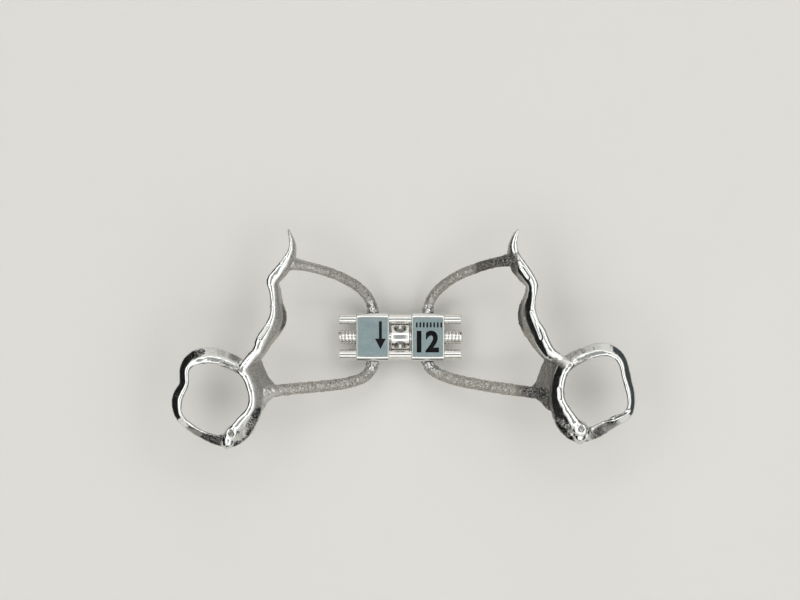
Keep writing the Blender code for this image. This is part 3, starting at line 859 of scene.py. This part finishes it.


# Cobalt-chrome, hand polished to a mirror where it was reached, and dull warm grey with the grain of the
# powder where it was not. The grain is about 0.05 mm and is drawn at 0.13 mm so that it shows. A near-black
# colour darkens the right web and front arm and the corners that the touches give: partly oxide from the
# furnace, partly painted shade and painted dark reflections.
POWDER_DARK = "#8A857E"
POWDER_PALE = "#DFDDD7"
POLISHED_COLOUR = "#DCDDDB"
OXIDE_AND_SHADE_COLOUR = "#2C2A2B"
OXIDE_AND_SHADE_HIDING = 0.93
POWDER_PER_MM = 6.5
BEADS_PER_MM = 7.5
BEAD_DEPTH = 0.045 * MM
sintered_alloy, tree, shader = new_material("cobalt_chrome_sintered")
shader.inputs["Metallic"].default_value = 1.0
coords = add_node(tree, "ShaderNodeTexCoord")
polish = add_node(tree, "ShaderNodeAttribute", {"attribute_name": "polish"})
grain = add_node(tree, "ShaderNodeAttribute", {"attribute_name": "grain"})
oxide_and_shade = add_node(tree, "ShaderNodeAttribute", {"attribute_name": "oxide_and_shade"})
powder = add_node(
    tree,
    "ShaderNodeTexNoise",
    {"Scale": POWDER_PER_MM / MM, "Detail": 3.0},
    {"Vector": coords.outputs["Object"]},
)
powder_contrast = add_node(
    tree,
    "ShaderNodeMapRange",
    {"From Min": 0.32, "From Max": 0.68},
    {"Value": powder.outputs["Fac"]},
)
beads = add_node(
    tree, "ShaderNodeTexVoronoi", {"Scale": BEADS_PER_MM / MM}, {"Vector": coords.outputs["Object"]}
)
rough_colour = add_node(
    tree,
    "ShaderNodeMix",
    {"data_type": "RGBA", 6: srgb(POWDER_DARK), 7: srgb(POWDER_PALE)},
    {0: powder_contrast.outputs["Result"]},
)
clean_colour = add_node(
    tree,
    "ShaderNodeMix",
    {"data_type": "RGBA", 7: srgb(POLISHED_COLOUR)},
    {0: polish.outputs["Fac"], 6: rough_colour.outputs[2]},
)
# Where its share is high, a near-black colour covers the powder's pale grains: partly oxide, partly painted
# shade and painted dark reflection.
oxide_and_shade_patches = add_node(
    tree,
    "ShaderNodeMath",
    {"operation": "MULTIPLY", "use_clamp": True},
    {0: oxide_and_shade.outputs["Fac"], 1: powder_contrast.outputs["Result"]},
)
oxide_and_shade_cover = add_node(
    tree,
    "ShaderNodeMapRange",
    {"From Min": 0.0, "From Max": 0.6, "To Min": 0.0, "To Max": OXIDE_AND_SHADE_HIDING},
    {"Value": oxide_and_shade_patches.outputs["Value"]},
)
colour = add_node(
    tree,
    "ShaderNodeMix",
    {"data_type": "RGBA", 7: srgb(OXIDE_AND_SHADE_COLOUR)},
    {0: oxide_and_shade_cover.outputs["Result"], 6: clean_colour.outputs[2]},
)
tree.links.new(colour.outputs[2], shader.inputs["Base Color"])
gloss = add_node(
    tree,
    "ShaderNodeMapRange",
    {"From Min": 0.0, "From Max": 1.0, "To Min": 0.52, "To Max": 0.13},
    {"Value": polish.outputs["Fac"]},
)
tree.links.new(gloss.outputs["Result"], shader.inputs["Roughness"])
grain_bump = add_node(
    tree,
    "ShaderNodeBump",
    {"Distance": BEAD_DEPTH},
    {"Height": beads.outputs["Distance"], "Strength": grain.outputs["Fac"]},
)
tree.links.new(grain_bump.outputs["Normal"], shader.inputs["Normal"])

for label in ("left", "right"):
    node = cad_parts[label + "_framework"]
    casting = bpy.data.objects.new(label + "_framework_sintered", node.data.copy())
    bpy.context.scene.collection.objects.link(casting)
    merge_doubles(casting)
    leave_edit()
    apply_modifier(casting, "REMESH", mode="VOXEL", voxel_size=VOXEL, use_smooth_shade=True)
    apply_modifier(casting, "SMOOTH", factor=0.5, iterations=SMOOTH_PASSES)

    count = len(casting.data.vertices)
    places = np.empty(count * 3)
    normals = np.empty(count * 3)
    casting.data.vertices.foreach_get("co", places)
    casting.data.vertex_normals.foreach_get("vector", normals)
    places = places.reshape(-1, 3) / MM
    normals = normals.reshape(-1, 3)
    for start, end, reach, height in HAND_FORMS[label]:
        places += normals * (height * stroke(places, start, end, reach))[:, None]
    casting.data.vertices.foreach_set("co", (places * MM).ravel())
    casting.data.update()

    x, y, z = places.T
    out = np.abs(x)
    inward = normals[:, 0] * (-1 if label == "right" else 1)
    past_arms = np.maximum(step_up(out, STRAP_SIDE[label]), step_up(y, TIP_START))
    on_cheek = step_up(out, CHEEK_SIDE[label])
    ridge_high = step_up(z, POLISH_HEIGHT)
    polished = np.maximum(on_cheek, ridge_high * past_arms)
    on_web = (1 - ridge_high) * past_arms * (1 - on_cheek)
    body_low, body_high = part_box(label + "_housing")
    beside_body = np.maximum(body_low.y / MM - y, y - body_high.y / MM)
    welded = (1 - step_up(beside_body, WELD_REACH)) * (z < WELD_TOP)
    front_arm = (1 - past_arms) * step_up(out, FRONT_ARM_SIDE) * (y > FRONT_ARM_START)
    if label == "left":
        shoulder = step_up(inward, SHOULDER_LEAN) * step_up(y, SHOULDER_START)
        shoulder *= 1 - step_up(z, SHOULDER_TOP)
        satin = SHOULDER_SATIN * shoulder * past_arms * (1 - on_cheek)
        satin = np.maximum(satin, FRONT_ARM_SATIN * front_arm)
        polish_share = np.maximum(polished * (1 - satin), SATIN_POLISH * satin)
        grain_share = (1 - polished) * (1 - satin) + SATIN_GRAIN * satin
        oxide_and_shade_share = np.zeros(count)
    else:
        polish_share = polished
        grain_share = 1 - polished
        # On the right the web and the front arm are darkened: partly oxide, partly painted shade.
        oxide_and_shade_share = np.maximum(WEB_OXIDE_AND_SHADE * on_web * (y < WEB_END), FRONT_ARM_OXIDE_AND_SHADE * front_arm)
    polish_share = np.maximum(polish_share, WELD_POLISH * welded)
    grain_share += (WELD_GRAIN - grain_share) * welded
    oxide_and_shade_share = np.maximum(oxide_and_shade_share, WELD_OXIDE * welded)
    # The touches set polish, grain and the dark share; where the dark share is high they paint shade and
    # dark reflections into the colour.
    for start, end, reach, *touch_shares in FINISH_AND_SHADE_TOUCHES[label]:
        weight = stroke(places, start, end, reach)
        for share, wanted in zip((polish_share, grain_share, oxide_and_shade_share), touch_shares):
            share += (wanted - share) * weight
    rough = grain_share * (1 - welded)
    for name, values in (("polished", 1 - rough), ("rough", rough), ("welded", welded)):
        group = casting.vertex_groups.new(name=name)
        for index, value in enumerate(values.tolist()):
            group.add([index], value, "REPLACE")
    for roughening in ROUGHENINGS:
        roughen(casting, *roughening)
    store(casting, "polish", polish_share)
    store(casting, "grain", grain_share)
    store(casting, "oxide_and_shade", oxide_and_shade_share)
    casting.vertex_groups.clear()
    activate(casting)
    bpy.ops.object.shade_smooth()
    casting.data.materials.clear()
    casting.data.materials.append(sintered_alloy)
    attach(casting, label + "_half")
    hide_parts(label + "_framework")
